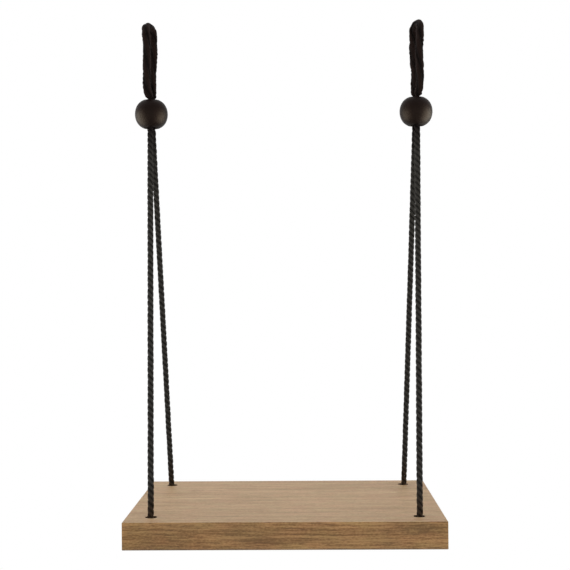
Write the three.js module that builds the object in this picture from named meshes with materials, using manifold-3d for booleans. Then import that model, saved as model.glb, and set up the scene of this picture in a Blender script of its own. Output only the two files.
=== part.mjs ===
// Hanging rope shelf: an oak board carried by two black ropes, one at each end.
// Each rope starts at a knot under the board's front edge, runs up through the board and a
// turned wooden bead, makes the hanging eye, and comes back down through the bead and the
// board to a second knot. Millimetres, +Z up, +X along the board, +Y to the back.
// The origin is the middle of the line between the two places where hooks carry the eyes.
import * as THREE from "three";
import { mergeVertices } from "three/addons/utils/BufferGeometryUtils.js";
import Module from "manifold-3d";

const wasm = await Module();
wasm.setup();

// Oak board
const boardWidth = 350;
const boardDepth = 250;
const boardThickness = 30;
const boardArris = 0.8;

// Rope holes: a hole from above and a wider pocket from below that hides the knot
const holeInsetX = 28.1;
const holeInsetY = 28;
const holeSideGap = 2.75;
const holeMouthEase = 0.5;
const pocketDepth = 20;
const pocketMouthEase = 0.8;

// Rope: tight in the runs, squeezed in the knots, slack and opened out in the eyes
const runDia = 7;
const knotDia = 6;
const eyeDia = 9.2;
const ropeFaceGap = 0.3;
const ropeLeanOut = 0.8;
const ropeLeanIn = 1.8;
const ropeSpreadInBead = 0.85;
const ropeSpreadInDepth = 4.3;
const throatEase = 1;
const stubStraight = 2;
const knotSelfGap = 0.4;
const knotSeatGap = 0.3;
const knotSideGap = 0.6;

// Turned wooden beads: a little lower than a ball, and fuller than an ellipse at the shoulders
const beadDia = 38.8;
const beadHeight = 33;
const beadBore = 16;
const beadMouthEase = 1.5;
const beadShoulderShare = 0.14;
const beadSpacing = 314;
const beadCentreAboveBoard = 458.2;

// Faces around the round pieces, and along the ropes
const ropeSides = 10;
const beadSides = 40;
const beadArcSteps = 12;
const holeSides = 32;
const arrisSteps = 2;
const eyeSteps = 64;
const throatSteps = 14;
const runSteps = 1;
const knotSteps = 44;

// Length by which a cutter runs past the face that it opens
const overrun = 1;

// Points of a mesh that lie closer than this are one point
const weldDistance = 0.0001;

// The test of a tube's gap to itself: the steps that it takes along each thickness of the
// tube, and the steps between two places that no longer count as neighbours
const gapTestSteps = 4;
const gapApartSteps = 8;

// The eye's centreline on the left side: out from the bead's axis (minus is the outer side),
// back, and up from the bead's top. The outer leg stands in front, the inner leg behind.
const eyeRoute = [
  [-2.9, -5.2, 8],
  [-3.9, -6.4, 11.5],
  [-4.1, -7.6, 18],
  [-3.95, -8.9, 25],
  [-3.65, -10.1, 32],
  [-3.85, -11.2, 38.5],
  [-3.2, -12.2, 48],
  [-2.9, -12.9, 57],
  [-3.5, -13, 66.5],
  [-4, -12.9, 73],
  [-4.15, -12.2, 78.3],
  [-4.3, -9.95, 82.3],
  [-4.2, -6.5, 85.3],
  [-3.7, -3.2, 86.9],
  [-2.5, 0, 87.25],
  [-1, 3.3, 86.7],
  [0.4, 6.8, 85.1],
  [1.1, 9.95, 82.3],
  [1.35, 12.2, 78.3],
  [1.3, 12.9, 73],
  [1.6, 12.9, 63],
  [1.5, 12.2, 53],
  [0.85, 11.2, 43.5],
  [0, 10.1, 36],
  [0.3, 8.9, 29],
  [0.65, 7.6, 21],
  [0.7, 6.4, 13.5],
  [0.6, 5.2, 8],
];

// The eye's two feet going into the bead, measured the same way
const frontFootRoute = [
  [-2.9, -5.2, 8],
  [-2.2, -4.39, 5.64],
  [-1.3, -3.9, 1.6],
  [-0.9, -3.8, -3],
];
const backFootRoute = [
  [0.6, 5.2, 8],
  [0.6, 4.63, 5.46],
  [0.65, 4, 1.6],
  [0.75, 3.8, -3],
];

// The same two legs further down the bore: out and back from its axis, and up from the bead's
// centre in shares of its half height
const boreOut = 0.8;
const boreDepth = 3.75;
const boreEaseDepth = 3.9;
const boreHeightShares = [0.29, -0.31];
const boreEaseHeightShare = -0.87;

// Half of the overhand knot's centreline, in thicknesses of the rope, from its middle turn to
// its tail. The other half is this one turned half round about the first axis.
const knotHalfShares = [
  [1, 0, 0],
  [0.9, 0.9, 0.2],
  [0.25, 1.45, 0.6],
  [-0.55, 1.2, 1],
  [-1.05, 0.4, 0.95],
  [-0.85, -0.35, 0.45],
  [-0.2, -0.5, -0.2],
  [0.15, -0.25, -1],
];
const knotTailShares = [0.25, -0.2, -1.45];
const knotHeightShare = 1.04;

// Places worked out from the sizes above; heights are above the board's underside
const knotUnit = knotDia + knotSelfGap;
const knotReachShare = Math.max(...knotHalfShares.map(([a, b]) => Math.hypot(a, b)));
const pocketDia = 2 * (knotReachShare * knotUnit + knotDia / 2 + knotSideGap);
const holeDia = runDia + 2 * holeSideGap;
const boardTop = boardThickness;
const holeX = boardWidth / 2 - holeInsetX;
const holeY = boardDepth / 2 - holeInsetY;
const beadX = beadSpacing / 2;
const beadHalfHeight = beadHeight / 2;
const beadCentre = boardTop + beadCentreAboveBoard;
const beadTop = beadCentre + beadHalfHeight;
const beadBottom = beadCentre - beadHalfHeight;
const eyeInside = Math.max(...eyeRoute.map(([, , up]) => up)) - eyeDia / 2;
const hookHeight = beadTop + eyeInside;
const knotCentre = pocketDepth - knotSeatGap - knotHeightShare * knotUnit - knotDia / 2;

const oak = new THREE.MeshStandardMaterial({ color: 0xb39a80, roughness: 0.62, metalness: 0 });
const blackRope = new THREE.MeshStandardMaterial({ color: 0x2a2724, roughness: 0.9, metalness: 0 });
const blackBead = new THREE.MeshStandardMaterial({ color: 0x2b2320, roughness: 0.42, metalness: 0 });

function mesh(name, geometry, material) {
  const made = new THREE.Mesh(geometry, material);
  made.name = name;
  return made;
}

// A three.js geometry as a solid that can be cut
function solid(geometry) {
  const bare = geometry.clone();
  bare.deleteAttribute("normal");
  bare.deleteAttribute("uv");
  const merged = mergeVertices(bare, weldDistance);
  return new wasm.Manifold(
    new wasm.Mesh({
      numProp: 3,
      vertProperties: merged.attributes.position.array,
      triVerts: new Uint32Array(merged.index.array),
    }),
  );
}

function geometryOf(body) {
  const made = body.getMesh();
  const geometry = new THREE.BufferGeometry();
  geometry.setAttribute("position", new THREE.BufferAttribute(made.vertProperties, 3));
  geometry.setIndex(new THREE.BufferAttribute(made.triVerts, 1));
  geometry.computeVertexNormals();
  return geometry;
}

// A solid of revolution about +Z from a closed profile of [radius, height] points
function turned(profile, sides) {
  const points = profile.map(([radius, height]) => new THREE.Vector2(radius, height));
  const geometry = new THREE.LatheGeometry(points, sides);
  geometry.rotateX(Math.PI / 2);
  return geometry;
}

function smoothLine(points) {
  return new THREE.CatmullRomCurve3(points);
}

// A closed tube of one thickness along a line
function ropeTube(line, dia, steps) {
  const section = new THREE.Shape();
  section.absarc(0, 0, dia / 2, 0, 2 * Math.PI);
  return new THREE.ExtrudeGeometry(section, {
    steps,
    curveSegments: ropeSides / 2,
    bevelEnabled: false,
    extrudePath: line,
  });
}

// The least gap between two stretches of one tube that lie apart along it
function leastSelfGap(line, dia) {
  const count = Math.ceil((gapTestSteps * line.getLength()) / dia);
  const places = line.getSpacedPoints(count);
  let least = Infinity;
  for (let i = 0; i < count; i++) {
    for (let j = i + gapApartSteps; j <= count; j++) {
      least = Math.min(least, places[i].distanceTo(places[j]) - dia);
    }
  }
  return least;
}

// The plank: a rectangle with its edges eased, drawn upwards
function plank() {
  const halfWidth = boardWidth / 2;
  const halfDepth = boardDepth / 2;
  const outline = new THREE.Shape();
  outline.moveTo(-halfWidth + boardArris, -halfDepth);
  outline.lineTo(halfWidth - boardArris, -halfDepth);
  outline.lineTo(halfWidth, -halfDepth + boardArris);
  outline.lineTo(halfWidth, halfDepth - boardArris);
  outline.lineTo(halfWidth - boardArris, halfDepth);
  outline.lineTo(-halfWidth + boardArris, halfDepth);
  outline.lineTo(-halfWidth, halfDepth - boardArris);
  outline.lineTo(-halfWidth, -halfDepth + boardArris);
  outline.closePath();
  const geometry = new THREE.ExtrudeGeometry(outline, {
    depth: boardThickness - 2 * boardArris,
    bevelThickness: boardArris,
    bevelSize: boardArris,
    bevelOffset: -boardArris,
    bevelSegments: arrisSteps,
  });
  geometry.translate(0, 0, boardArris);
  return solid(geometry);
}

// One rope hole with its eased mouth, its shoulder for the knot and its pocket
function holeCutter(x, y) {
  const hole = holeDia / 2;
  const pocket = pocketDia / 2;
  const profile = [
    [0, -overrun],
    [pocket + pocketMouthEase, -overrun],
    [pocket + pocketMouthEase, 0],
    [pocket, pocketMouthEase],
    [pocket, pocketDepth],
    [hole, pocketDepth],
    [hole, boardTop - holeMouthEase],
    [hole + holeMouthEase, boardTop],
    [hole + holeMouthEase, boardTop + overrun],
    [0, boardTop + overrun],
  ];
  const geometry = turned(profile, holeSides);
  geometry.translate(x, y, 0);
  return solid(geometry);
}

function boardMesh() {
  let body = plank();
  for (const x of [-holeX, holeX]) {
    for (const y of [-holeY, holeY]) {
      body = body.subtract(holeCutter(x, y));
    }
  }
  return mesh("board", geometryOf(body), oak);
}

// Height on the bead's round side at an angle from its middle, for a bead of height 1 at its pole
function beadRise(angle) {
  return Math.sin(angle) * (1 + beadShoulderShare * Math.cos(angle) ** 2);
}

// A flattened ball bored through, with the bore's two mouths eased
function beadMesh(name, x) {
  const radius = beadDia / 2;
  const bore = beadBore / 2;
  const edge = Math.acos((bore + beadMouthEase) / radius);
  const pole = beadHalfHeight / beadRise(edge);
  const profile = [[bore, -beadHalfHeight + beadMouthEase]];
  for (let i = 0; i <= beadArcSteps; i++) {
    const angle = -edge + (2 * edge * i) / beadArcSteps;
    profile.push([radius * Math.cos(angle), pole * beadRise(angle)]);
  }
  profile.push([bore, beadHalfHeight - beadMouthEase]);
  profile.push(profile[0]);
  const made = mesh(name, turned(profile, beadSides), blackBead);
  made.position.set(x, 0, beadCentre);
  return made;
}

// A hand-chosen route beside the bead, placed for one side of the shelf
function besideBead(route, side) {
  return route.map(([out, back, up]) => new THREE.Vector3(-side * out, back, up + beadTop));
}

function eyeMesh(name, side) {
  const line = smoothLine(besideBead(eyeRoute, side));
  const made = mesh(name, ropeTube(line, eyeDia, eyeSteps), blackRope);
  made.position.set(side * beadX, 0, 0);
  console.log(name + " least gap to itself " + leastSelfGap(line, eyeDia).toFixed(2) + " mm");
  return made;
}

// Where one run leaves the bead, where it meets its hole's mouth, and its direction down
function runEnds(side, depth) {
  const outward = depth < 0 ? side * ropeSpreadInBead : -side * ropeSpreadInBead;
  const top = new THREE.Vector3(side * beadX + outward, depth * ropeSpreadInDepth, beadBottom);
  const mouthX = side * (holeX + ropeLeanOut);
  const mouthY = depth * (holeY - ropeLeanIn);
  const mouth = new THREE.Vector3(mouthX, mouthY, boardTop);
  const down = mouth.clone().sub(top).normalize();
  return { top, mouth, down };
}

// The stretch inside the bead, from the eye's foot to the bead's lower mouth, where it takes
// up the run's slope
function throatMesh(name, side, depth) {
  const route = depth < 0 ? frontFootRoute : backFootRoute;
  const { top, down } = runEnds(side, depth);
  const points = besideBead(route, side);
  points.forEach((point) => point.setX(point.x + side * beadX));
  const slope = points[1].clone().sub(points[0]).normalize();
  points[0].addScaledVector(slope, ropeFaceGap);
  const legX = side * (beadX - depth * boreOut);
  for (const share of boreHeightShares) {
    points.push(new THREE.Vector3(legX, depth * boreDepth, beadCentre + share * beadHalfHeight));
  }
  const easeZ = beadCentre + boreEaseHeightShare * beadHalfHeight;
  points.push(new THREE.Vector3(legX, depth * boreEaseDepth, easeZ));
  points.push(top.clone().addScaledVector(down, -throatEase));
  points.push(top);
  return mesh(name, ropeTube(smoothLine(points), runDia, throatSteps), blackRope);
}

function runMesh(name, side, depth) {
  const { top, mouth, down } = runEnds(side, depth);
  const from = top.clone().addScaledVector(down, ropeFaceGap);
  const line = new THREE.LineCurve3(from, mouth);
  return mesh(name, ropeTube(line, runDia, runSteps), blackRope);
}

// The knot's centreline in thicknesses, from the standing part down to the tail
function knotShares() {
  const lower = [...knotHalfShares, knotTailShares];
  const upper = knotHalfShares.slice(1).map(([a, b, c]) => [a, -b, -c]);
  return [...upper.reverse(), ...lower];
}

// The end of one run: down its hole and into an overhand knot under the shoulder
function knotMesh(name, side, depth) {
  const { mouth, down } = runEnds(side, depth);
  const centre = new THREE.Vector3(side * holeX, depth * holeY, knotCentre);
  const lean = Math.atan2(mouth.y - centre.y, mouth.x - centre.x);
  const turn = new THREE.Matrix4().makeRotationZ(lean);
  const start = mouth.clone().addScaledVector(down, ropeFaceGap);
  const points = [start, start.clone().addScaledVector(down, stubStraight)];
  for (const [a, b, c] of knotShares()) {
    const point = new THREE.Vector3(a, b, c).multiplyScalar(knotUnit);
    points.push(point.applyMatrix4(turn).add(centre));
  }
  const line = smoothLine(points);
  console.log(name + " least gap to itself " + leastSelfGap(line, knotDia).toFixed(2) + " mm");
  return mesh(name, ropeTube(line, knotDia, knotSteps), blackRope);
}

const assembly = new THREE.Group();
assembly.position.z = -hookHeight;
assembly.add(boardMesh());
for (const [sideName, side] of [["left", -1], ["right", 1]]) {
  assembly.add(beadMesh("bead_" + sideName, side * beadX));
  assembly.add(eyeMesh("eye_" + sideName, side));
  for (const [depthName, depth] of [["front", -1], ["back", 1]]) {
    const end = sideName + "_" + depthName;
    assembly.add(throatMesh("throat_" + end, side, depth));
    assembly.add(runMesh("rope_" + end, side, depth));
    assembly.add(knotMesh("knot_" + end, side, depth));
  }
}

const shelf = new THREE.Group();
shelf.add(assembly);
export default shelf;
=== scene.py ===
# %% [markdown]
# # A hanging rope shelf
#
# An oak board hangs level from two black ropes. Each rope is one length: it starts in a knot
# under the board, runs up through the board and a turned wooden bead, makes the hanging eye,
# and comes back down to a second knot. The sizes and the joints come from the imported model,
# which is loaded here as a fixed frame. This script adds only what the eye sees: the laid
# strands, the fibres, the grain of the wood and the light.

# %% Load the frame
import math

import bmesh
import bpy
import numpy as np
from mathutils import Matrix, Vector


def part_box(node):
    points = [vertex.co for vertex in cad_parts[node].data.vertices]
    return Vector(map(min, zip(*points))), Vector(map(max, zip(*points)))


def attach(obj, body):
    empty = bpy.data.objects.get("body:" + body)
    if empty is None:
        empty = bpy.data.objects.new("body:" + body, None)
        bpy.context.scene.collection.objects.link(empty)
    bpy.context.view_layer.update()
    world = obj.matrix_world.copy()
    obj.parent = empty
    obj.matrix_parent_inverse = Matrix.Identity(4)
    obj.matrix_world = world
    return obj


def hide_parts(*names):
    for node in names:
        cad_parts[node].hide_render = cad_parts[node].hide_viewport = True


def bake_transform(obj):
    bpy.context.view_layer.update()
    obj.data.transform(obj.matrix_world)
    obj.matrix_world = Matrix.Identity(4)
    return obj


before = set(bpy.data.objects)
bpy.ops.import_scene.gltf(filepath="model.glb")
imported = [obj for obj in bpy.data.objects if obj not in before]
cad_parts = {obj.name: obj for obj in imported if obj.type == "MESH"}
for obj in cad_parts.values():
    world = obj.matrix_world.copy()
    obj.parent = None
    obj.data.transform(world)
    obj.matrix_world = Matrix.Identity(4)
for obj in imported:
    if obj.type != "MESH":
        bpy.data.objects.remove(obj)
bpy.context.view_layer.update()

# %% [markdown]
# ## Sizes
#
# Blender works in metres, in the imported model's own frame: +X along the board, +Y to the
# back, +Z up, and the origin on the line between the two hooks. The ropes' routes and the
# holes repeat the solid model's own numbers, because this script reads nothing but the frame.

# %% Sizes
board_low, board_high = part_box("board")
bead_low, bead_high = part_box("bead_right")
BOARD_TOP = board_high.z
BOARD_BOTTOM = board_low.z
BEAD_X = (bead_low.x + bead_high.x) / 2
BEAD_TOP = bead_high.z
BEAD_BOTTOM = bead_low.z
BEAD_CENTRE = (BEAD_TOP + BEAD_BOTTOM) / 2
BEAD_RADIUS = (bead_high.x - bead_low.x) / 2
SIDES = {"left": -1, "right": 1}
DEPTHS = {"front": -1, "back": 1}
print("board top", BOARD_TOP, "bead centre", BEAD_X, BEAD_CENTRE)

# %% [markdown]
# ## The camera
#
# The camera comes first, because every later choice is judged through it. Where it stands
# was worked out from the board's corners, the rope holes and the beads in the photograph:
# about 1.3 m in front, 25 cm above the board's top, turned a degree to the left. A lens of
# nearly 70 mm on a 36 mm sensor gives the photograph's angle of view on a square picture.

# %% Camera
CAMERA_PLACE = (0.0222, -1.2884, -0.3071)
CAMERA_TURN = math.radians(0.974)
CAMERA_LIFT = math.radians(0.172)
CAMERA_ROLL = math.radians(-0.439)
LENS_MM = 68.63
SENSOR_MM = 36

camera_data = bpy.data.cameras.new("camera")
camera_data.lens = LENS_MM
camera_data.sensor_width = SENSOR_MM
camera = bpy.data.objects.new("camera", camera_data)
bpy.context.scene.collection.objects.link(camera)
camera.matrix_world = (
    Matrix.Translation(CAMERA_PLACE)
    @ Matrix.Rotation(CAMERA_TURN, 4, "Z")
    @ Matrix.Rotation(math.radians(90) + CAMERA_LIFT, 4, "X")
    @ Matrix.Rotation(CAMERA_ROLL, 4, "Z")
)
bpy.context.scene.camera = camera
print("camera at", CAMERA_PLACE)

# %% [markdown]
# ## Helpers for meshes
#
# Most shapes here are rows of rings: a strand is a small ring carried along the rope, and a
# bead or the cutter for a hole is a row of circles along its axis. So one function lists the
# faces between rings, and another turns points and faces into an object.

# %% Mesh helpers
def ring_faces(rings, sides, first=0, closed=False):
    """The four-sided faces between rings of points that follow each other."""
    steps = rings if closed else rings - 1
    ring, side = np.meshgrid(np.arange(steps), np.arange(sides), indexing="ij")
    after, beside = (ring + 1) % rings, (side + 1) % sides
    corners = [ring * sides + side, ring * sides + beside,
               after * sides + beside, after * sides + side]
    return first + np.stack(corners, -1).reshape(-1, 4)


def placed(name, mesh, material):
    """An object made from a mesh, shaded smooth, with its material."""
    mesh.shade_smooth()
    mesh.materials.append(material)
    made = bpy.data.objects.new(name, mesh)
    bpy.context.scene.collection.objects.link(made)
    return made


def mesh_object(name, points, faces, material, sharp_angle=None):
    """An object from points and faces, with its faces turned outwards."""
    mesh = bpy.data.meshes.new(name)
    mesh.from_pydata([tuple(p) for p in points], [], [tuple(f) for f in faces])
    turned = bmesh.new()
    turned.from_mesh(mesh)
    bmesh.ops.recalc_face_normals(turned, faces=turned.faces)
    turned.to_mesh(mesh)
    turned.free()
    made = placed(name, mesh, material)
    if sharp_angle is not None:
        mesh.set_sharp_from_angle(angle=sharp_angle)
    return made


# %% [markdown]
# ## Helpers for materials
#
# A material is a small tree of shader nodes. One function fills in a node's inputs and one
# makes a node. The others name what comes back in every finish: a sum, a mix of two colours,
# a change of range, noise, a bump. Each gives back the socket to link on.

# %% Node helpers
def fill(tree, made, inputs):
    """A node's inputs, each linked to a socket or set to a value."""
    for key, value in inputs.items():
        if isinstance(value, bpy.types.NodeSocket):
            tree.links.new(value, made.inputs[key])
        else:
            made.inputs[key].default_value = value


def node(tree, kind, inputs=None, **settings):
    """A shader node with its settings and its inputs."""
    made = tree.nodes.new("ShaderNode" + kind)
    for name, value in settings.items():
        setattr(made, name, value)
    fill(tree, made, inputs or {})
    return made


def maths(tree, operation, first, second=0.0, third=0.0):
    """One sum on the node tree."""
    made = node(tree, "Math", {0: first, 1: second, 2: third}, operation=operation)
    return made.outputs[0]


def blended(tree, share, first, second, mode="MIX"):
    """Two colours mixed."""
    made = node(tree, "Mix", {0: share, 6: first, 7: second}, data_type="RGBA", blend_type=mode)
    return made.outputs[2]


def ranged(tree, value, low, high, start=0.0, end=1.0, curve="LINEAR"):
    """A value that goes from low to high, turned into one that goes from start to end."""
    made = node(tree, "MapRange", {0: value, 1: low, 2: high, 3: start, 4: end}, interpolation_type=curve)
    return made.outputs[0]


# %% Noise, bump and a bare material
def own_place(tree):
    """The point's place in the object's own metres."""
    return node(tree, "TexCoord").outputs["Object"]


def scaled(tree, place, scale):
    """A place with each of its axes scaled."""
    return node(tree, "Mapping", {"Vector": place, "Scale": scale}).outputs[0]


def noise(tree, place, scale, detail=2.0, roughness=0.5, distortion=0.0):
    """Smooth noise from 0 to 1."""
    made = node(tree, "TexNoise", {"Vector": place, "Scale": scale, "Detail": detail,
                                   "Roughness": roughness, "Distortion": distortion})
    return made.outputs[0]


def bump(tree, height, strength, distance):
    """Relief that the light sees, without moving the surface."""
    return node(tree, "Bump", {"Height": height, "Strength": strength, "Distance": distance}).outputs[0]


def new_material(name):
    """A material with a bare Principled shader, its node tree and that shader."""
    material = bpy.data.materials.new(name)
    material.use_nodes = True
    tree = material.node_tree
    return material, tree, tree.nodes["Principled BSDF"]


# %% [markdown]
# ## Black cotton rope
#
# Soft three-strand rope is dyed cotton: nearly black, quite matt, a little lighter where
# fibres stand up and catch the light. Each strand is spun from yarns that lie almost in line
# with the rope, so the yarns are drawn as fine slanting stripes in the strand's own
# coordinates, kept in a UV map: across is the way round the strand, and up is metres along
# it. That way the stripes follow every bend of the eye and of the knots. The crowns of the
# strands are lighter than the grooves between them: partly their wear, partly a painted
# highlight on the raised strands and painted shade in the grooves.

# %% Yarns, fibres and crowns
STRAND_MAP = "strand"
YARNS_ROUND = 9
YARN_TURNS_PER_M = 52
YARN_WANDER = 0.05
CROWN = 0.375
CROWN_NEAR = 0.05
CROWN_FAR = 0.34


def yarns_and_fibres(tree, place):
    """The yarns as stripes from 0 to 1, and the finer fibres drawn out along them."""
    split = node(tree, "SeparateXYZ", {0: place})
    slant = maths(tree, "MULTIPLY_ADD", split.outputs[1], -YARN_TURNS_PER_M, split.outputs[0])
    wandering = maths(tree, "MULTIPLY_ADD", noise(tree, place, 60.0), YARN_WANDER, slant)
    turns = maths(tree, "MULTIPLY", wandering, YARNS_ROUND * 2 * math.pi)
    yarns = maths(tree, "MULTIPLY_ADD", maths(tree, "SINE", turns), 0.5, 0.5)
    along_yarn = node(tree, "CombineXYZ", {0: slant, 1: split.outputs[1]}).outputs[0]
    fibres = noise(tree, scaled(tree, along_yarn, (40.0, 220.0, 1.0)), 1.0, 4.0, 0.7)
    return yarns, fibres


def crown_share(tree, place):
    """1 along the strand's outermost line, and 0 down in the grooves."""
    across = node(tree, "SeparateXYZ", {0: place}).outputs[0]
    from_crown = maths(tree, "ABSOLUTE", maths(tree, "SUBTRACT", across, CROWN))
    return ranged(tree, from_crown, CROWN_NEAR, CROWN_FAR, 1.0, 0.0, "SMOOTHSTEP")


# %% [markdown]
# ### The two finishes of the rope
#
# A run's two ends carry painted shade: just under the bead the rope is painted darker, as the
# bead's painted shadow, and near the board it is painted darker and browner, as painted shade
# where it meets the board. The eyes are blacker all the way. One recipe makes both.

# %% Rope materials
BEAD_SHADOW_LENGTH = 0.036
BEAD_SHADOW_TINT = (0.30, 0.21, 0.22, 1)
BOARD_SHADE_LENGTH = 0.040
BOARD_SHADE_TINT = (0.95, 0.60, 0.36, 1)
RUN_DARK, RUN_LIGHT = (0.0045, 0.0040, 0.0033, 1), (0.0505, 0.0470, 0.0405, 1)
EYE_DARK, EYE_LIGHT = (0.0026, 0.0016, 0.0013, 1), (0.0185, 0.0101, 0.0080, 1)


def painted_end_shade(tree, dye):
    """The run's two ends: painted shadow under the bead, and darker, browner painted shade by the board."""
    height = node(tree, "SeparateXYZ", {0: own_place(tree)}).outputs[2]
    # Painted shade: darker for a few centimetres under the bead, darker and browner near the board.
    bead_shadow_share = ranged(tree, height, BEAD_BOTTOM - BEAD_SHADOW_LENGTH, BEAD_BOTTOM)
    board_shade_share = ranged(tree, height, BOARD_TOP + BOARD_SHADE_LENGTH, BOARD_TOP)
    dye = blended(tree, bead_shadow_share, dye, BEAD_SHADOW_TINT, "MULTIPLY")
    return blended(tree, board_shade_share, dye, BOARD_SHADE_TINT, "MULTIPLY")


def rope_material(name, dark, light, gloss, paints_end_shade):
    """Dyed cotton, from dark in the grooves to light on the crowns: partly wear, partly painted highlight
    and shade.
    """
    material, tree, shader = new_material(name)
    place = node(tree, "UVMap", uv_map=STRAND_MAP).outputs[0]
    yarns, fibres = yarns_and_fibres(tree, place)
    # Painted highlight and shade with wear: the crowns lighter, the grooves darker.
    crown_wear_and_light = maths(tree, "MULTIPLY_ADD", crown_share(tree, place), 1.25, 0.20)
    lift = maths(tree, "MULTIPLY_ADD", yarns, 0.30, maths(tree, "MULTIPLY", fibres, 0.60))
    dye = blended(tree, maths(tree, "MULTIPLY", lift, crown_wear_and_light), dark, light)
    patches = noise(tree, own_place(tree), 90.0, 3.0)
    dye = blended(tree, maths(tree, "MULTIPLY", patches, 0.3), dye, light)
    # Only the runs get the painted shade at their ends.
    if paints_end_shade:
        dye = painted_end_shade(tree, dye)
    relief = bump(tree, maths(tree, "MULTIPLY_ADD", fibres, 0.6, yarns), 0.55, 0.00022)
    fill(tree, shader, {"Base Color": dye, "Normal": relief, "Roughness": 0.88,
                        "Specular IOR Level": gloss, "Sheen Weight": 0.03, "Sheen Roughness": 0.45})
    return material


RUN_ROPE = rope_material("black_rope", RUN_DARK, RUN_LIGHT, 0.12, paints_end_shade=True)
EYE_ROPE = rope_material("black_rope_eye", EYE_DARK, EYE_LIGHT, 0.08, paints_end_shade=False)
print("materials", RUN_ROPE.name, EYE_ROPE.name)

# %% [markdown]
# ## A line for the rope to follow
#
# A cord is settled by its route before its shape. A route is a row of given points,
# in metres. The curve through them is the one that the solid model uses, so the strands lie
# where the solid lies. The line is then cut into even steps, and at each step a pair of
# directions square to it is carried along without twisting. The only twist left is then the
# one that the rope maker put in.

# %% Lines
CURVE_SAMPLES = 24


def route_length(line):
    """The length of a line through its points, in metres."""
    return float(np.linalg.norm(np.diff(line, axis=0), axis=1).sum())


def even_steps(line, step):
    """The same line with its points the same distance apart."""
    lengths = np.linalg.norm(np.diff(line, axis=0), axis=1)
    along = np.concatenate([[0], np.cumsum(lengths)])
    places = np.linspace(0, along[-1], max(3, round(along[-1] / step) + 1))
    return np.stack([np.interp(places, along, line[:, k]) for k in range(3)], 1)


def between(first, second, t, low, high):
    """The point on the way from one to another, where t goes from low to high."""
    return ((high - t) * first + (t - low) * second) / (high - low)


def smooth_line(points, step):
    """Even steps along the centripetal curve through given points."""
    points = np.array([tuple(p) for p in points], float)
    before, after = 2 * points[0] - points[1], 2 * points[-1] - points[-2]
    held = np.vstack([before, points, after])
    pieces = []
    for four in zip(held, held[1:], held[2:], held[3:]):
        gaps = [np.linalg.norm(b - a) ** 0.5 for a, b in zip(four, four[1:])]
        k = np.concatenate([[0], np.cumsum(gaps)])
        t = np.linspace(k[1], k[2], CURVE_SAMPLES, endpoint=False)[:, None]
        near = [between(four[i], four[i + 1], t, k[i], k[i + 1]) for i in range(3)]
        wide = [between(near[i], near[i + 1], t, k[i], k[i + 2]) for i in range(2)]
        pieces.append(between(wide[0], wide[1], t, k[1], k[2]))
    pieces.append(points[-1:])
    return even_steps(np.vstack(pieces), step)


def carried_frame(line):
    """At each step, two directions square to the line, carried along without twist."""
    ahead = np.gradient(line, axis=0)
    ahead /= np.linalg.norm(ahead, axis=1)[:, None]
    across = np.zeros_like(line)
    seed = np.array([1.0, 0.0, 0.0])
    for i, direction in enumerate(ahead):
        seed = seed - direction * (seed @ direction)
        seed /= np.linalg.norm(seed)
        across[i] = seed
    return across, np.cross(ahead, across)


# %% [markdown]
# ## Laying the rope
#
# The rope in the photograph is laid left-handed: its strands slant down to the right on
# every run, about 7 mm apart, so one strand goes once round in 21 mm. Each strand is a tube
# carried round the line at that rate. Three round tubes would look like a chain of beads. In
# a real rope the strands press each other into thirds of a circle, so the section here keeps
# the rope's full radius over most of its third and drops only beside the groove. Small, slow
# changes of thickness keep it from looking machined, and where the rope is loose, in the
# eyes, its strands are lumpier and its grooves shallower.

# %% Strands
STRANDS = 3
OUTER_SIDES = 13
SECTION_SIDES = 16
THIRD = math.radians(60)
OUTER_SHARE = 0.98
INNER_SHARE = 0.7
HEART_REACH = 0.25
GROOVE_TIGHT = 0.36
GROOVE_LOOSE = 0.24
GROOVE_SHARPNESS = 3.4
ROPE_STEP = 0.0011
TIGHT_LAY = 0.021
SWELL_SHARE = 0.045
SWELL_WAVE = 0.007
WOBBLE_TURN = 0.13
WOBBLE_WAVE = 0.016
LUMP_SHARE = 0.10
LUMP_WAVE = 0.0026


def slow_noise(rng, count, wave):
    """Smooth random numbers from -1 to 1, that change over about one wave of length."""
    knots = max(4, int(count * ROPE_STEP / wave) + 3)
    places = np.linspace(0, knots - 1, count)
    return np.interp(places, np.arange(knots), rng.uniform(-1, 1, knots))


def strand_rings(line, frame_pair, radius, turn, looseness, rng):
    """The rings of one strand round the rope's line."""
    across, square = frame_pair
    count = len(line)
    lumps = LUMP_SHARE * looseness * slow_noise(rng, count, LUMP_WAVE)
    swell = radius * (1 + SWELL_SHARE * slow_noise(rng, count, SWELL_WAVE) + lumps)
    wobble = turn + WOBBLE_TURN * slow_noise(rng, count, WOBBLE_WAVE)
    outer = np.linspace(-OUTER_SHARE, OUTER_SHARE, OUTER_SIDES)
    inner = np.linspace(INNER_SHARE, -INNER_SHARE, SECTION_SIDES - OUTER_SIDES)
    angles = THIRD * np.concatenate([outer, inner])
    groove = GROOVE_TIGHT + (GROOVE_LOOSE - GROOVE_TIGHT) * looseness
    outer_reach = 1 - groove[:, None] * np.abs(outer) ** GROOVE_SHARPNESS
    inner_reach = np.full((count, len(inner)), HEART_REACH)
    reach = np.hstack([outer_reach, inner_reach]) * swell[:, None]
    around = wobble[:, None] + angles
    outward = np.cos(around)[..., None] * across[:, None] + np.sin(around)[..., None] * square[:, None]
    return line[:, None] + reach[..., None] * outward


# %% [markdown]
# ### Loose fibres
#
# Cotton rope is slightly hairy. Each fibre here is a thin three-sided spike with one bend,
# which starts just under the rope's surface, stands off it and leans over at random. They
# could be hair curves, but here they are part of the rope's mesh.

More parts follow.
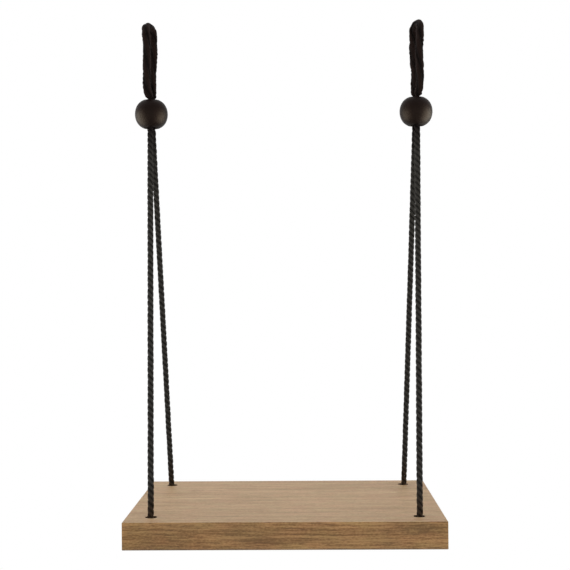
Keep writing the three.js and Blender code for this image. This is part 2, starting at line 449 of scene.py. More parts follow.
# %% Fibres
FIBRES_PER_M = 1500
FIBRE_ROOT = 0.00004
FIBRE_WAIST_SHARE = 0.7
FIBRE_REACH = 0.0019
FIBRE_SHORTEST = 0.25
FIBRE_SHORTNESS = 1.5
FIBRE_SUNK = 0.0005
FIBRE_CLEARS = 0.0004
WAIST_OUT, WAIST_LEAN = 0.55, 0.5
TIP_OUT, TIP_LEAN = 0.3, 0.9


def spike_mesh(root, middle, tip, ahead, sideways):
    """The points and faces of spikes, each with two small rings of three points and a tip."""
    points, faces = [], []
    for i in range(len(root)):
        first = len(points)
        for base, size in ((root[i], FIBRE_ROOT), (middle[i], FIBRE_WAIST_SHARE * FIBRE_ROOT)):
            for k in range(3):
                spin = 2 * math.pi * k / 3
                points.append(base + size * (math.cos(spin) * ahead[i] + math.sin(spin) * sideways[i]))
        points.append(tip[i])
        faces.append((first + 2, first + 1, first))
        for k in range(3):
            after = (k + 1) % 3
            faces.append((first + k, first + after, first + 3 + after, first + 3 + k))
            faces.append((first + 3 + k, first + 3 + after, first + 6))
    return points, faces


def fibre_spikes(line, frame_pair, radius, per_metre, rng):
    """Loose fibres, scattered over a stretch of rope."""
    across, square = frame_pair
    count = int(per_metre * route_length(line))
    at = rng.integers(1, len(line) - 1, count)
    around = rng.uniform(0, 2 * math.pi, count)
    outward = np.cos(around)[:, None] * across[at] + np.sin(around)[:, None] * square[at]
    ahead = line[at + 1] - line[at - 1]
    ahead /= np.linalg.norm(ahead, axis=1)[:, None]
    sideways = np.cross(ahead, outward)
    lean = ahead * rng.uniform(-1, 1, (count, 1)) + sideways * rng.uniform(-1, 1, (count, 1))
    reach = FIBRE_REACH * rng.uniform(FIBRE_SHORTEST, 1, (count, 1)) ** FIBRE_SHORTNESS
    root = line[at] + outward * (radius[at, None] - FIBRE_SUNK)
    middle = root + outward * (FIBRE_CLEARS + WAIST_OUT * reach) + lean * WAIST_LEAN * reach
    tip = middle + outward * TIP_OUT * reach + lean * TIP_LEAN * reach
    return spike_mesh(root, middle, tip, ahead, sideways)


# %% [markdown]
# ### The strands' map
#
# The map is written from the order in which the points were made, ring by ring. A face that
# closes a ring needs 1 where its neighbour has 0, or the stripes would run backwards across
# it. Each strand is also shifted up, so that no two show the same fibres.

# %% Strand map
STRAND_SHIFT = 0.31
OFF_STRAND = 0.5


def write_strand_map(mesh, strand_points, rings, step):
    """Across: the way round the strand, from one edge of its outer face. Up: metres along it."""
    layer = mesh.uv_layers.new(name=STRAND_MAP)
    point = np.zeros(len(mesh.loops), np.int64)
    mesh.loops.foreach_get("vertex_index", point)
    starts = np.zeros(len(mesh.polygons), np.int64)
    totals = np.zeros(len(mesh.polygons), np.int64)
    mesh.polygons.foreach_get("loop_start", starts)
    mesh.polygons.foreach_get("loop_total", totals)
    around = point % SECTION_SIDES
    along = (point // SECTION_SIDES) % rings
    across = around / SECTION_SIDES
    face_of_loop = np.repeat(np.arange(len(totals)), totals)
    widest = np.maximum.reduceat(around, starts)[face_of_loop]
    across = np.where((widest == SECTION_SIDES - 1) & (around == 0), 1.0, across)
    shift = (point // (SECTION_SIDES * rings)) * STRAND_SHIFT
    on_strand = point < strand_points
    uv = np.where(on_strand[:, None], np.stack([across, along * step + shift], 1), OFF_STRAND)
    layer.uv.foreach_set("vector", uv.astype(np.float32).ravel())


# %% Lay a rope
def laid_rope(name, line, radius, lay, looseness, seed, material, phase=0.0, per_metre=FIBRES_PER_M):
    """A three-strand rope along a line, as one mesh: strands, then loose fibres."""
    rng = np.random.default_rng(seed)
    frame_pair = carried_frame(line)
    step = np.linalg.norm(np.diff(line, axis=0), axis=1).mean()
    turned_by = np.concatenate([[0], np.cumsum(2 * math.pi * step / lay[1:])])
    points, faces = [], []
    for strand in range(STRANDS):
        turn = phase + 2 * math.pi * strand / STRANDS - turned_by
        rings = strand_rings(line, frame_pair, radius, turn, looseness, rng)
        first = len(points)
        points.extend(rings.reshape(-1, 3))
        faces.extend(ring_faces(len(rings), SECTION_SIDES, first))
        last = first + (len(rings) - 1) * SECTION_SIDES
        faces.append(tuple(range(first + SECTION_SIDES - 1, first - 1, -1)))
        faces.append(tuple(range(last, last + SECTION_SIDES)))
    strand_points = len(points)
    spikes, spike_faces = fibre_spikes(line, frame_pair, radius, per_metre, rng)
    points.extend(spikes)
    faces.extend(tuple(strand_points + c for c in f) for f in spike_faces)
    made = mesh_object(name, points, faces, material)
    write_strand_map(made.data, strand_points, len(line), step)
    print(name, "is", round(step * (len(line) - 1), 4), "m long with", len(faces), "faces")
    return made


# %% [markdown]
# ## The hanging eyes
#
# Above each bead the rope makes one long, narrow loop for a hook. Nothing pulls its strands
# tight there, so it opens out: thicker, with a slower lay and softer grooves. Its two legs
# stand one in front of the other, which is why it looks like a thin dark leaf from the
# front and like a drop from the side. The two legs then go down through the bead together,
# squeezed thin. One mesh follows the whole way. Each point below is: out from the bead's
# axis, back, and up from its top.

# %% Routes of the eyes
EYE_ROUTE = [
    (-0.0029, -0.0052, 0.0080), (-0.0039, -0.0064, 0.0115), (-0.0041, -0.0076, 0.0180),
    (-0.00395, -0.0089, 0.0250), (-0.00365, -0.0101, 0.0320), (-0.00385, -0.0112, 0.0385),
    (-0.0032, -0.0122, 0.0480), (-0.0029, -0.0129, 0.0570), (-0.0035, -0.0130, 0.0665),
    (-0.0040, -0.0129, 0.0730), (-0.00415, -0.0122, 0.0783), (-0.0043, -0.00995, 0.0823),
    (-0.0042, -0.0065, 0.0853), (-0.0037, -0.0032, 0.0869), (-0.0025, 0.0000, 0.08725),
    (-0.0010, 0.0033, 0.0867), (0.0004, 0.0068, 0.0851), (0.0011, 0.00995, 0.0823),
    (0.00135, 0.0122, 0.0783), (0.0013, 0.0129, 0.0730), (0.0016, 0.0129, 0.0630),
    (0.0015, 0.0122, 0.0530), (0.00085, 0.0112, 0.0435), (0.0000, 0.0101, 0.0360),
    (0.0003, 0.0089, 0.0290), (0.00065, 0.0076, 0.0210), (0.0007, 0.0064, 0.0135),
    (0.0006, 0.0052, 0.0080),
]
FRONT_FOOT_ROUTE = [(-0.0022, -0.00439, 0.00564), (-0.0013, -0.0039, 0.0016), (-0.0009, -0.0038, -0.003)]
BACK_FOOT_ROUTE = [(0.0006, 0.00463, 0.00546), (0.00065, 0.0040, 0.0016), (0.00075, 0.0038, -0.003)]
BORE_OUT = 0.0008
BORE_DEPTH = 0.00375
BORE_HEIGHTS = (-0.0120, -0.0220, -0.0280)


def beside_bead(route, side):
    """A route measured from a bead's top, placed for one side of the shelf."""
    return [Vector((side * (BEAD_X - out), back, BEAD_TOP + up)) for out, back, up in route]


def eye_points(side):
    """Up through the bead in front, round the eye, and down through the bead behind."""
    up_bore = [(-BORE_OUT, -BORE_DEPTH, up) for up in reversed(BORE_HEIGHTS)]
    down_bore = [(BORE_OUT, BORE_DEPTH, up) for up in BORE_HEIGHTS]
    route = up_bore + FRONT_FOOT_ROUTE[::-1] + EYE_ROUTE + BACK_FOOT_ROUTE + down_bore
    return beside_bead(route, side)


# %% Make the eyes
EYE_RADIUS = 0.0046
EYE_FULLNESS = 1.04
EYE_LAY = 0.105
NECK_RADIUS = 0.0024
NECK_TOP = BEAD_TOP + 0.0010
OPEN_FROM = BEAD_TOP + 0.0045
EYE_SEED = 11
EYE_PHASES = {"left": math.radians(30), "right": 0.0}


def hanging_eye(side_name, side):
    """One eye with its two legs through the bead, thin in the bead and full above it."""
    line = smooth_line(eye_points(side), ROPE_STEP)
    open_share = np.clip((line[:, 2] - NECK_TOP) / (OPEN_FROM - NECK_TOP), 0, 1)
    open_share = open_share * open_share * (3 - 2 * open_share)
    radius = NECK_RADIUS + (EYE_FULLNESS * EYE_RADIUS - NECK_RADIUS) * open_share
    lay = TIGHT_LAY + (EYE_LAY - TIGHT_LAY) * open_share
    made = laid_rope("hanging_eye_" + side_name, line, radius, lay, open_share, EYE_SEED + side,
                     EYE_ROPE, EYE_PHASES[side_name])
    return made, line


eyes = {side_name: hanging_eye(side_name, side) for side_name, side in SIDES.items()}

# %% [markdown]
# ## The runs
#
# From the bead's lower mouth the rope's two legs spread to the board's front and back
# holes. They are straight, because the board pulls them tight, and they show the lay best.
# Each one starts a little way up inside the bead and ends a little way down its hole, so
# that neither end shows.

# %% Make the runs
RUN_RADIUS = 0.0035
RUN_SPREAD_OUT = 0.00085
RUN_SPREAD_DEPTH = 0.0043
HOLE_X = 0.1469
HOLE_Y = 0.0970
LEAN_OUT = 0.0008
LEAN_IN = 0.0018
RUN_START_IN_BEAD = 0.0075
STRAIGHT_IN_BEAD = 0.003
EASE_ABOVE_MOUTH = 0.002
EASE_BELOW_MOUTH = 0.004
RUN_END_IN_HOLE = 0.0030
RUN_SEED = 31
PHASE_PER_SEED = 1.1


def run_ends(side, depth):
    """Where one run leaves its bead, and where it meets its hole's mouth."""
    top_x = side * (BEAD_X - depth * RUN_SPREAD_OUT)
    top = Vector((top_x, depth * RUN_SPREAD_DEPTH, BEAD_BOTTOM))
    mouth = Vector((side * (HOLE_X + LEAN_OUT), depth * (HOLE_Y - LEAN_IN), BOARD_TOP))
    return top, mouth


def rope_run(name, side, depth, seed):
    """One run, from inside the bead to inside its hole."""
    top, mouth = run_ends(side, depth)
    down = (mouth - top).normalized()
    inside_x = side * (BEAD_X - depth * BORE_OUT)
    inside = Vector((inside_x, depth * BORE_DEPTH, BEAD_BOTTOM + RUN_START_IN_BEAD))
    easing = [top - down * EASE_ABOVE_MOUTH, top + down * EASE_BELOW_MOUTH]
    points = [inside, inside - Vector((0, 0, STRAIGHT_IN_BEAD))] + easing
    line = smooth_line(points + [mouth, mouth + down * RUN_END_IN_HOLE], ROPE_STEP)
    even = np.ones(len(line))
    phase = PHASE_PER_SEED * seed
    made = laid_rope(name, line, RUN_RADIUS * even, TIGHT_LAY * even, 0 * even, seed, RUN_ROPE, phase)
    return made, line


# %% [markdown]
# ## The knots
#
# Each run goes on down its hole into an overhand knot in the pocket under the board. The
# knot is hidden from above but carries everything, so it is laid from the same rope, pulled
# a little thinner, and it rides on the board. It has to fill its pocket: a looser one would
# let daylight through the hole, as a white speck beside the rope. Half of its route is
# written here, in thicknesses of the rope. The other half is this one turned half round.

# %% Make the knots
KNOT_RADIUS = 0.0034
KNOT_UNIT = 0.0064
KNOT_HALF = [
    (1, 0, 0), (0.9, 0.9, 0.2), (0.25, 1.45, 0.6), (-0.55, 1.2, 1),
    (-1.05, 0.4, 0.95), (-0.85, -0.35, 0.45), (-0.2, -0.5, -0.2), (0.15, -0.25, -1),
]
KNOT_TAIL = (0.25, -0.2, -1.45)
KNOT_CENTRE = BOARD_BOTTOM + 0.010044
KNOT_LAY = 0.017
KNOT_THINS_OVER = 0.12
KNOT_FIBRES_PER_M = 900
HOLE_WAY = (0.0008, 0.0023)
KNOT_SEED = 71


def knot_points(side, depth):
    """The end of one run: down its hole and round its overhand knot."""
    top, mouth = run_ends(side, depth)
    down = (mouth - top).normalized()
    centre = Vector((side * HOLE_X, depth * HOLE_Y, KNOT_CENTRE))
    lean = math.atan2(mouth.y - centre.y, mouth.x - centre.x)
    upper = [(a, -b, -c) for a, b, c in reversed(KNOT_HALF[1:])]
    turn = Matrix.Rotation(lean, 3, "Z")
    knot = [centre + turn @ (Vector(share) * KNOT_UNIT) for share in upper + KNOT_HALF + [KNOT_TAIL]]
    return [mouth + down * way for way in HOLE_WAY] + knot


def rope_knot(name, side, depth, seed):
    """One knot, which starts as thick as its run."""
    line = smooth_line(knot_points(side, depth), ROPE_STEP)
    into = np.clip(np.linspace(0, 1, len(line)) / KNOT_THINS_OVER, 0, 1)
    radius = RUN_RADIUS + (KNOT_RADIUS - RUN_RADIUS) * into
    even = np.ones(len(line))
    return laid_rope(name, line, radius, KNOT_LAY * even, 0 * even, seed, RUN_ROPE, seed,
                     KNOT_FIBRES_PER_M)


ropes = {}
for side_name, side in SIDES.items():
    for depth_name, depth in DEPTHS.items():
        end = side_name + "_" + depth_name
        number = 2 * (side + 1) + depth
        run, line = rope_run("rope_run_" + end, side, depth, RUN_SEED + number)
        knot = rope_knot("rope_knot_" + end, side, depth, KNOT_SEED + number)
        ropes[end] = (run, knot, line)

# %% [markdown]
# ## What the ropes replace
#
# Each piece hides the solids that it replaces, and its length is printed as it is laid. The
# shelf swings to and fro at the feet of the eyes, and sways to the side at the beads' lower
# mouths. The eyes and runs cross both places, but they are not bent there: each is only
# fixed in the model's frame. The knots ride on the shelf.


def bend_at(piece):
    """The piece's place is written into its mesh; the piece is not bent."""
    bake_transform(piece)


for side_name, (eye, line) in eyes.items():
    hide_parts("eye_" + side_name, "throat_" + side_name + "_front", "throat_" + side_name + "_back")
    bend_at(eye)
for end, (run, knot, line) in ropes.items():
    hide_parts("rope_" + end)
    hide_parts("knot_" + end)
    bend_at(run)
    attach(knot, "shelf")

# %% [markdown]
# ## Turned beads
#
# The beads are hardwood balls, turned, drilled, stained black-brown and rubbed with wax.
# The wax gives a broad, soft sheen at the rims, and the stain leaves the grain just
# visible. The grain is noise drawn out along the bead's axis, and it also decides where the
# wax is a little duller.

# %% Bead material
STAIN_DARK, STAIN_LIGHT = (0.0013, 0.0004, 0.0005, 1), (0.0062, 0.0022, 0.0020, 1)
STAIN_WORN = (0.0066, 0.0030, 0.0026, 1)
WAX_TINT = (1.0, 0.82, 0.66, 1)


def bead_material():
    """Black-brown stain over fine grain, under satin wax."""
    material, tree, shader = new_material("black_bead")
    place = own_place(tree)
    grain = noise(tree, scaled(tree, place, (520.0, 520.0, 55.0)), 1.0, 5.0, 0.65, 0.3)
    clouds = noise(tree, place, 70.0)
    stain = blended(tree, grain, STAIN_DARK, STAIN_LIGHT)
    worn = blended(tree, maths(tree, "MULTIPLY", clouds, 0.3), stain, STAIN_WORN)
    rough = ranged(tree, grain, 0.0, 1.0, 0.41, 0.52)
    fill(tree, shader, {"Base Color": worn, "Roughness": rough, "Normal": bump(tree, grain, 0.3, 0.00012),
                        "Specular IOR Level": 0.09, "Specular Tint": WAX_TINT})
    return material


BLACK_BEAD = bead_material()

# %% [markdown]
# ### The bead's section
#
# The beads are not quite balls: a little lower than wide, and fuller than an ellipse at the
# shoulders. The section comes from one formula, carried round an axis. The bore's upper
# mouth was eased by hand, and the lower one flares, because the rope's two legs spread there
# and the bead can be pushed a little way down over them.

# %% Section of the beads
BORE_RADIUS = 0.0080
MOUTH_EASE = 0.0015
FLARE = 0.0013
FLARE_HEIGHT = 0.0072
FLARE_EDGE = 0.0002
SHOULDER_SHARE = 0.14
BEAD_ARC_STEPS = 48
MOUTH_STEPS = 6


def bead_rise(angle):
    """Height at an angle from the bead's middle, for a bead of height 1 at its pole."""
    return math.sin(angle) * (1 + SHOULDER_SHARE * math.cos(angle) ** 2)


def bead_profile():
    """Radius and height of the bead's section, once round it."""
    half_height = (BEAD_TOP - BEAD_BOTTOM) / 2
    rim = math.acos((BORE_RADIUS + MOUTH_EASE) / BEAD_RADIUS)
    pole = half_height / bead_rise(rim)
    angles = np.linspace(-rim, rim, BEAD_ARC_STEPS)
    arc = [(BEAD_RADIUS * math.cos(a), pole * bead_rise(a)) for a in angles]
    mouth = []
    for k in range(1, MOUTH_STEPS + 1):
        turn = math.radians(90) * k / MOUTH_STEPS
        radius = BORE_RADIUS + MOUTH_EASE * (1 - math.sin(turn))
        height = half_height - MOUTH_EASE * (1 - math.cos(turn))
        mouth.append((radius, height))
    flare = [(BORE_RADIUS, FLARE_HEIGHT - half_height), (BORE_RADIUS + FLARE, FLARE_EDGE - half_height)]
    return flare + arc + mouth


# %% Make the beads
BEAD_SIDES = 96
SHARP_TURN = math.radians(40)


def turned_bead(side_name, side):
    """One bead, its section carried round the axis, on its own sliding body."""
    angles = 2 * math.pi * np.arange(BEAD_SIDES) / BEAD_SIDES
    rings = [np.stack([side * BEAD_X + radius * np.cos(angles), radius * np.sin(angles),
                       np.full(BEAD_SIDES, BEAD_CENTRE + height)], 1)
             for radius, height in bead_profile()]
    faces = ring_faces(len(rings), BEAD_SIDES, closed=True)
    made = mesh_object("turned_bead_" + side_name, np.vstack(rings), faces, BLACK_BEAD, SHARP_TURN)
    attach(made, side_name + "_bead")
    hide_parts("bead_" + side_name)
    print(made.name, "radius", round(BEAD_RADIUS, 4))
    return made


beads = [turned_bead(side_name, side) for side_name, side in SIDES.items()]

# %% [markdown]
# ## Oak
#
# Oak is not a picture on a surface: its rings, pores and rays run through the whole plank.
# So the colour is worked out in three dimensions, from the distance to a pith line that runs
# along the board, 13 cm under it. The top then shows long, faint streaks, the front edge
# closer lines, and the ends the arcs of the rings. The pores are short dark scratches along
# the grain, thickest in the early wood of each ring.

# %% Rings
PITH_Y = 0.045
PITH_DEPTH = 0.130
PITH_WANDER = 0.035
RING_WIDTH = 0.0034
EARLY_WOOD = 0.55


def drawn_noise(tree, place, along, across, detail=3.0, roughness=0.5):
    """Noise drawn out along the board: the changes that fit a metre, along and across it."""
    return noise(tree, scaled(tree, place, (along, across, across)), 1.0, detail, roughness)


def from_pith(tree, place):
    """How far a point is from the pith, with the tree's own wander, and its angle round it."""
    split = node(tree, "SeparateXYZ", {0: place})
    side = maths(tree, "SUBTRACT", split.outputs[1], PITH_Y)
    height = maths(tree, "SUBTRACT", split.outputs[2], BOARD_BOTTOM - PITH_DEPTH)
    square = maths(tree, "ADD", maths(tree, "POWER", side, 2.0), maths(tree, "POWER", height, 2.0))
    wander = drawn_noise(tree, place, 2.2, 9.0)
    reach = maths(tree, "MULTIPLY_ADD", wander, PITH_WANDER, maths(tree, "SQRT", square))
    return reach, maths(tree, "ARCTAN2", side, height)


def ring_share(tree, reach):
    """1 where a year's growth starts, in its open early wood, and 0 in its late wood."""
    year = maths(tree, "FRACT", maths(tree, "DIVIDE", reach, RING_WIDTH))
    return ranged(tree, year, 0.0, EARLY_WOOD, 1.0, 0.0, "SMOOTHSTEP")


# %% The sawn ends
RAY_RADIUS = 0.145
END_DARK, END_LIGHT = (0.112, 0.064, 0.030, 1), (0.262, 0.166, 0.086, 1)


def end_grain(tree, place, reach, turn, early):
    """The sawn ends: arcs of the rings, open pores, and pale rays that run out from the pith."""
    across = maths(tree, "MULTIPLY", turn, RAY_RADIUS)
    polar = node(tree, "CombineXYZ", {0: reach, 1: across}).outputs[0]
    rays = ranged(tree, drawn_noise(tree, polar, 34.0, 900.0, 2.0), 0.50, 0.66)
    pores = noise(tree, place, 1400.0, 1.0)
    clouds = noise(tree, place, 60.0, 3.0)
    tone = maths(tree, "MULTIPLY_ADD", early, -0.50, 0.52)
    tone = maths(tree, "MULTIPLY_ADD", rays, 0.26, tone)
    tone = maths(tree, "MULTIPLY_ADD", clouds, 0.44, tone)
    tone = maths(tree, "MULTIPLY_ADD", maths(tree, "MULTIPLY", pores, early), -0.35, tone)
    return blended(tree, tone, END_DARK, END_LIGHT)


# %% Grain and pores
def oak_tone(tree, place, early, fibres):
    """How light the wood is: broad bands down to fine fibres, then the rings and the rays."""
    tone = maths(tree, "MULTIPLY", drawn_noise(tree, place, 2.6, 50.0), 0.18)
    streaks = drawn_noise(tree, place, 12.0, 500.0, 3.0, 0.6)
    flecks = drawn_noise(tree, place, 70.0, 760.0, 2.0)
    mottle = drawn_noise(tree, place, 330.0, 640.0, 2.0)
    for change, weight in ((streaks, 0.34), (flecks, 0.18), (mottle, 0.20), (fibres, 0.10)):
        tone = maths(tree, "MULTIPLY_ADD", change, weight, tone)
    tone = ranged(tree, tone, 0.440, 0.560)
    tone = maths(tree, "MULTIPLY_ADD", early, -0.22, tone)
    rays = ranged(tree, drawn_noise(tree, place, 95.0, 1050.0, 1.0), 0.58, 0.70)
    return maths(tree, "MULTIPLY_ADD", rays, 0.30, tone)


def oak_pores(tree, place, early):
    """Short dark scratches along the grain, thickest in the early wood."""
    dashes = ranged(tree, drawn_noise(tree, place, 140.0, 2300.0, 1.0), 0.56, 0.66)
    return maths(tree, "MULTIPLY", dashes, maths(tree, "MULTIPLY_ADD", early, 0.75, 0.25))


# %% [markdown]
# ### The wood's surface, with painted sheen and painted shade
#
# The broad faces are painted paler and greyer than the narrow edges, as a painted sheen, and the
# edges' wood changes slowly from darker to lighter along the plank. The whole surface also shifts a
# little between warmer and cooler wood. The low edge is painted darker and greyer, as painted shade.

# %% Colours of the oak
EDGE_DARK, EDGE_LIGHT = (0.175, 0.086, 0.0245, 1), (0.395, 0.221, 0.084, 1)
FACE_SHEEN_DARK, FACE_SHEEN_LIGHT = (0.218, 0.136, 0.067, 1), (0.370, 0.247, 0.138, 1)
SHADE_DARK, SHADE_LIGHT = (0.85, 0.835, 0.83, 1), (1.14, 1.135, 1.13, 1)
COOL_TINT, WARM_TINT = (0.965, 1.015, 0.99, 1), (1.035, 0.985, 1.01, 1)
PORE_COLOUR = (0.075, 0.038, 0.016, 1)
LOW_EDGE_SHADE_COLOUR = (0.120, 0.094, 0.070, 1)
LOW_EDGE_SHADE_SHARE = 0.60
LOW_EDGE = 0.0022


def facing_share(tree, component):
    """1 on the faces that look along one axis, and 0 on the others."""
    return ranged(tree, maths(tree, "ABSOLUTE", component), 0.55, 0.95)


def wood_with_face_sheen(tree, place, tone, flat):
    """The wood's colour on the edges, and on the broad faces with a painted sheen, with its slow changes."""
    shade = ranged(tree, drawn_noise(tree, place, 14.0, 50.0, 2.0), 0.36, 0.64)
    edge = blended(tree, tone, EDGE_DARK, EDGE_LIGHT)
    edge = blended(tree, 1.0, edge, blended(tree, shade, SHADE_DARK, SHADE_LIGHT), "MULTIPLY")
    # Painted sheen: the broad faces take paler, greyer colours than the edges.
    face = blended(tree, tone, FACE_SHEEN_DARK, FACE_SHEEN_LIGHT)
    wood = blended(tree, flat, edge, face)
    warmth = ranged(tree, drawn_noise(tree, place, 34.0, 90.0), 0.35, 0.65)
    return blended(tree, 1.0, wood, blended(tree, warmth, COOL_TINT, WARM_TINT), "MULTIPLY")


def with_low_edge_shade(tree, place, wood):
    """The wood with painted shade, darker and greyer, that fades upwards from its low edge."""
    height = node(tree, "SeparateXYZ", {0: place}).outputs[2]
    above = maths(tree, "SUBTRACT", height, BOARD_BOTTOM)
    # Painted shade: darker and greyer towards the low edge.
    return blended(tree, ranged(tree, above, 0.0, LOW_EDGE, LOW_EDGE_SHADE_SHARE, 0.0), wood, LOW_EDGE_SHADE_COLOUR)


# %% Oak material
def oak_material():
    """The plank: its grain and pores, its sawn ends, and its surface with painted sheen and painted shade.
    """
    material, tree, shader = new_material("oak")
    coordinates = node(tree, "TexCoord")
    place = coordinates.outputs["Object"]
    facing = node(tree, "SeparateXYZ", {0: coordinates.outputs["Normal"]})
    reach, turn = from_pith(tree, place)
    early = ring_share(tree, reach)
    fibres = drawn_noise(tree, place, 60.0, 1500.0, 4.0, 0.6)
    pores = oak_pores(tree, place, early)
    flat = facing_share(tree, facing.outputs[2])
    wood = wood_with_face_sheen(tree, place, oak_tone(tree, place, early, fibres), flat)
    depth = maths(tree, "MULTIPLY_ADD", flat, -0.35, 0.6)
    wood = blended(tree, maths(tree, "MULTIPLY", pores, depth), wood, PORE_COLOUR)
    sawn = facing_share(tree, facing.outputs[0])
    wood = blended(tree, sawn, wood, end_grain(tree, place, reach, turn, early))
    relief = maths(tree, "MULTIPLY_ADD", pores, -1.0, maths(tree, "MULTIPLY", fibres, 0.25))
    fill(tree, shader, {"Base Color": with_low_edge_shade(tree, place, wood), "Specular IOR Level": 0.4,
                        "Roughness": ranged(tree, fibres, 0.0, 1.0, 0.52, 0.68),
                        "Normal": bump(tree, relief, 0.35, 0.00018)})
    return material


OAK = oak_material()

# %% [markdown]
# ## The walls of the holes
#
# A drill leaves fine turns in the wood. The walls are painted dark, as painted shade inside
# the holes; they would look like pale wood without a finish of their own. The cutters carry
# this one, and the boolean hands it on to the walls that they cut.

# %% Material of the bored walls
HOLE_SHADE_DARK, HOLE_SHADE_LIGHT = (0.020, 0.011, 0.006, 1), (0.085, 0.048, 0.024, 1)


def bored_oak_material():
    """End grain with drill marks, painted dark as painted shade inside the hole."""
    material, tree, shader = new_material("oak_bored")
    marks = noise(tree, scaled(tree, own_place(tree), (300.0, 300.0, 900.0)), 1.0, 3.0)
    # Painted shade: the walls inside the holes are painted dark.
    hole_shade = blended(tree, marks, HOLE_SHADE_DARK, HOLE_SHADE_LIGHT)
    fill(tree, shader, {"Base Color": hole_shade, "Normal": bump(tree, marks, 0.4, 0.0002),
                        "Roughness": 0.85, "Specular IOR Level": 0.2})
    return material


BORED_OAK = bored_oak_material()
print("materials", OAK.name, BORED_OAK.name)

# %% [markdown]
# ## The board
#
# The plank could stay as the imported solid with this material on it. Its arrises and the
# mouths of its rope holes are where the eye goes, though, and there the solid has only a few
# facets. So the board is made again at the same size: a block with its edges rounded by a
# bevel, and four turned cutters, each a hole with its knot pocket and softened mouths, taken
# out of it by a boolean. Weighted normals then keep the broad faces flat in the light.

# %% Cutters for the holes
HOLE_RADIUS = 0.00625
HOLE_EASE = 0.0003
POCKET_RADIUS = 0.01301
POCKET_EASE = 0.0008
POCKET_DEPTH = 0.020
CUTTER_SIDES = 72
CUTTER_REACH = 0.002
EASE_STEPS = 5


def eased_mouth(radius, ease, height, outward):
    """A rounded mouth's section, from the hole's wall to the face that it opens in."""
    turns = [math.radians(90) * k / EASE_STEPS for k in range(EASE_STEPS + 1)]
    return [(radius + ease * (1 - math.cos(t)), height - outward * ease * (1 - math.sin(t))) for t in turns]


def hole_cutter(x, y):
    """One rope hole with its shoulder and pocket, as a closed turned solid."""
    pocket = eased_mouth(POCKET_RADIUS, POCKET_EASE, BOARD_BOTTOM, -1)
    mouth = eased_mouth(HOLE_RADIUS, HOLE_EASE, BOARD_TOP, 1)
    below = (POCKET_RADIUS + POCKET_EASE, BOARD_BOTTOM - CUTTER_REACH)
    above = (HOLE_RADIUS + HOLE_EASE, BOARD_TOP + CUTTER_REACH)
    shoulder = BOARD_BOTTOM + POCKET_DEPTH
    section = [below] + pocket[::-1] + [(POCKET_RADIUS, shoulder), (HOLE_RADIUS, shoulder)] + mouth + [above]
    angles = 2 * math.pi * np.arange(CUTTER_SIDES) / CUTTER_SIDES
    points = [(x + r * math.cos(a), y + r * math.sin(a), z) for r, z in section for a in angles]
    faces = [tuple(f) for f in ring_faces(len(section), CUTTER_SIDES)]
    last = len(points) - CUTTER_SIDES
    faces.append(tuple(range(CUTTER_SIDES)))
    faces.append(tuple(range(last, last + CUTTER_SIDES)))
    return mesh_object("hole_cutter", points, faces, BORED_OAK, SHARP_TURN)


cutters = [hole_cutter(x, y) for x in (-HOLE_X, HOLE_X) for y in (-HOLE_Y, HOLE_Y)]
print(len(cutters), "cutters")

# %% The block before it is drilled
ARRIS = 0.0009
ARRIS_STEPS = 4


def rounded_block():
    """The plank with its twelve edges rounded."""
    block = bmesh.new()
    bmesh.ops.create_cube(block, size=1)
    size = board_high - board_low
    bmesh.ops.scale(block, vec=size, verts=block.verts)
    bmesh.ops.translate(block, vec=(board_high + board_low) / 2, verts=block.verts)
    bmesh.ops.bevel(block, geom=block.edges[:], offset=ARRIS, segments=ARRIS_STEPS, profile=0.5,
                    affect="EDGES")
    mesh = bpy.data.meshes.new("oak_board")
    block.to_mesh(mesh)
    block.free()
    return placed("oak_board", mesh, OAK)


# %% Drill the board
def drilled(block, cutters):
    """The block less its cutters, with the modifiers applied and the cutters gone."""
    for cutter in cutters:
        cut = block.modifiers.new("cut", "BOOLEAN")
        cut.operation = "DIFFERENCE"
        cut.object = cutter
        cut.solver = "EXACT"
        cut.material_mode = "TRANSFER"
    flat = block.modifiers.new("flat_faces", "WEIGHTED_NORMAL")
    flat.keep_sharp = True
    bpy.context.view_layer.update()
    seen = block.evaluated_get(bpy.context.evaluated_depsgraph_get())
    mesh = bpy.data.meshes.new_from_object(seen)
    block.modifiers.clear()
    block.data = mesh
    for cutter in cutters:
        bpy.data.objects.remove(cutter)
    return block


board = drilled(rounded_block(), cutters)
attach(board, "shelf")
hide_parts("board")
print("board with", len(board.data.polygons), "faces")

# %% [markdown]
# ## The ground and the room
#
# The photograph is a cut-out on pure white. The floor is a metre below the shelf, as it
# would be on a wall. Both the floor and the room look white to the camera and to
# reflections, but they light the shelf at a plain level, because a Light Path node tells one
# use from the other. Under the shelf the floor is a little less white, so it keeps a trace
# of the soft shadow.

# %% Floor and world
FLOOR_DROP = 1.0
FLOOR_HALF = 9.0
FLOOR_COLOUR = (0.86, 0.86, 0.86, 1)
SHADOW_NEAR = 0.6
SHADOW_FAR = 1.6
WHITE_UNDER_SHELF = 0.8
ROOM_LIGHT = 0.42
WHITE = (1, 1, 1, 1)


def shown_share(tree):
    """1 where the ground is looked at, straight or in a reflection, and 0 where it gives light."""
    ray = node(tree, "LightPath")
    shown = maths(tree, "MAXIMUM", ray.outputs["Is Camera Ray"], ray.outputs["Is Glossy Ray"])
    return maths(tree, "MAXIMUM", shown, ray.outputs["Is Transmission Ray"])


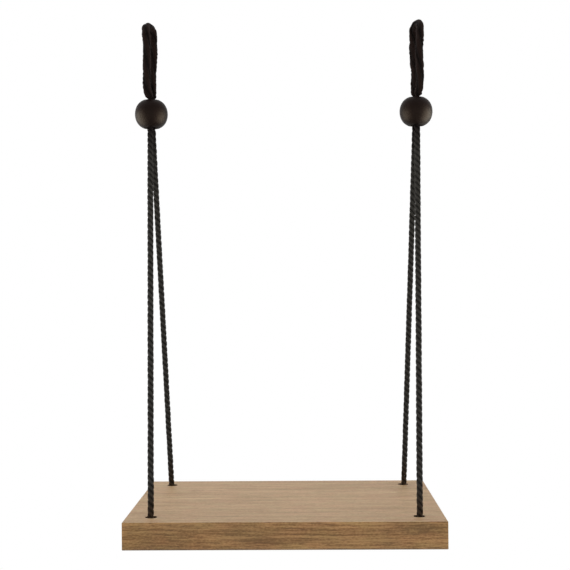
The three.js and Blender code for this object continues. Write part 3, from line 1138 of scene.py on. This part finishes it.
def floor_material():
    """A pale floor that looks white, and less so near the shelf's shadow."""
    material, tree, shader = new_material("pale_floor")
    away = node(tree, "VectorMath", {0: own_place(tree)}, operation="LENGTH").outputs["Value"]
    far = ranged(tree, away, SHADOW_NEAR, SHADOW_FAR, WHITE_UNDER_SHELF, 1.0)
    glow = node(tree, "Emission", {"Color": WHITE, "Strength": 1.0})
    mixed = node(tree, "MixShader", {0: maths(tree, "MULTIPLY", shown_share(tree), far),
                                     1: shader.outputs[0], 2: glow.outputs[0]})
    fill(tree, shader, {"Base Color": FLOOR_COLOUR, "Roughness": 0.9})
    fill(tree, tree.nodes["Material Output"], {"Surface": mixed.outputs[0]})
    return material


corners = [(x * FLOOR_HALF, y * FLOOR_HALF, 0) for x, y in ((-1, -1), (1, -1), (1, 1), (-1, 1))]
floor = mesh_object("floor", corners, [(0, 1, 2, 3)], floor_material())
floor.location.z = BOARD_BOTTOM - FLOOR_DROP

world = bpy.data.worlds.new("soft_room")
world.use_nodes = True
bpy.context.scene.world = world
sky = world.node_tree
strength = maths(sky, "MULTIPLY_ADD", shown_share(sky), 1.0 - ROOM_LIGHT, ROOM_LIGHT)
fill(sky, sky.nodes["Background"], {"Strength": strength, "Color": WHITE})
print("floor at", round(floor.location.z, 4))

# %% [markdown]
# ## The lamps
#
# Broad lamps above, in front and at both sides give plain soft light. The strongest is above,
# so the board's top is clearly brighter than its front edge. The lamps above and at the sides
# don't show in any gloss. The beads' soft gleams come from two more lamps, slightly warm,
# that light the beads alone.

# %% Lamps
MIDDLE = (0, 0, (BOARD_BOTTOM + BEAD_TOP) / 2)
GLEAM_COLOUR = (1.0, 0.98, 0.83)


def soft_lamp(name, place, aim, width, height, power):
    """A broad area lamp that faces the point it aims at."""
    data = bpy.data.lights.new(name, "AREA")
    data.shape = "RECTANGLE"
    data.size = width
    data.size_y = height
    data.energy = power
    lamp = bpy.data.objects.new(name, data)
    bpy.context.scene.collection.objects.link(lamp)
    lamp.location = place
    lamp.rotation_mode = "QUATERNION"
    lamp.rotation_quaternion = (Vector(aim) - Vector(place)).to_track_quat("-Z", "Y")
    print("lamp", name, power, "W")
    return lamp


def for_beads_only(lamp):
    """A slightly warm lamp that lights nothing but the beads, and shows only in their wax."""
    lamp.data.color = GLEAM_COLOUR
    lit = bpy.data.collections.new(lamp.name + "_lights")
    for bead in beads:
        lit.objects.link(bead)
    lamp.light_linking.receiver_collection = lit
    lamp.visible_diffuse = False
    lamp.visible_camera = False


soft_lamp("front", (0.1, -2.0, -0.2), MIDDLE, 2.4, 1.8, 9.5)
for lamp in (soft_lamp("overhead", (-0.3, 0.2, 1.2), MIDDLE, 3.0, 3.0, 38),
             soft_lamp("left_side", (-1.45, 0.10, -0.40), MIDDLE, 0.5, 1.2, 15),
             soft_lamp("right_side", (1.45, -0.08, -0.40), MIDDLE, 0.4, 1.2, 15)):
    lamp.visible_glossy = False
for_beads_only(soft_lamp("left_gleam", (-1.35, -0.1, -0.63), MIDDLE, 1.6, 1.6, 62))
for_beads_only(soft_lamp("right_gleam", (1.35, -0.1, -0.63), MIDDLE, 1.6, 1.6, 88))

# %% Colour handling
bpy.context.scene.view_settings.view_transform = "Standard"
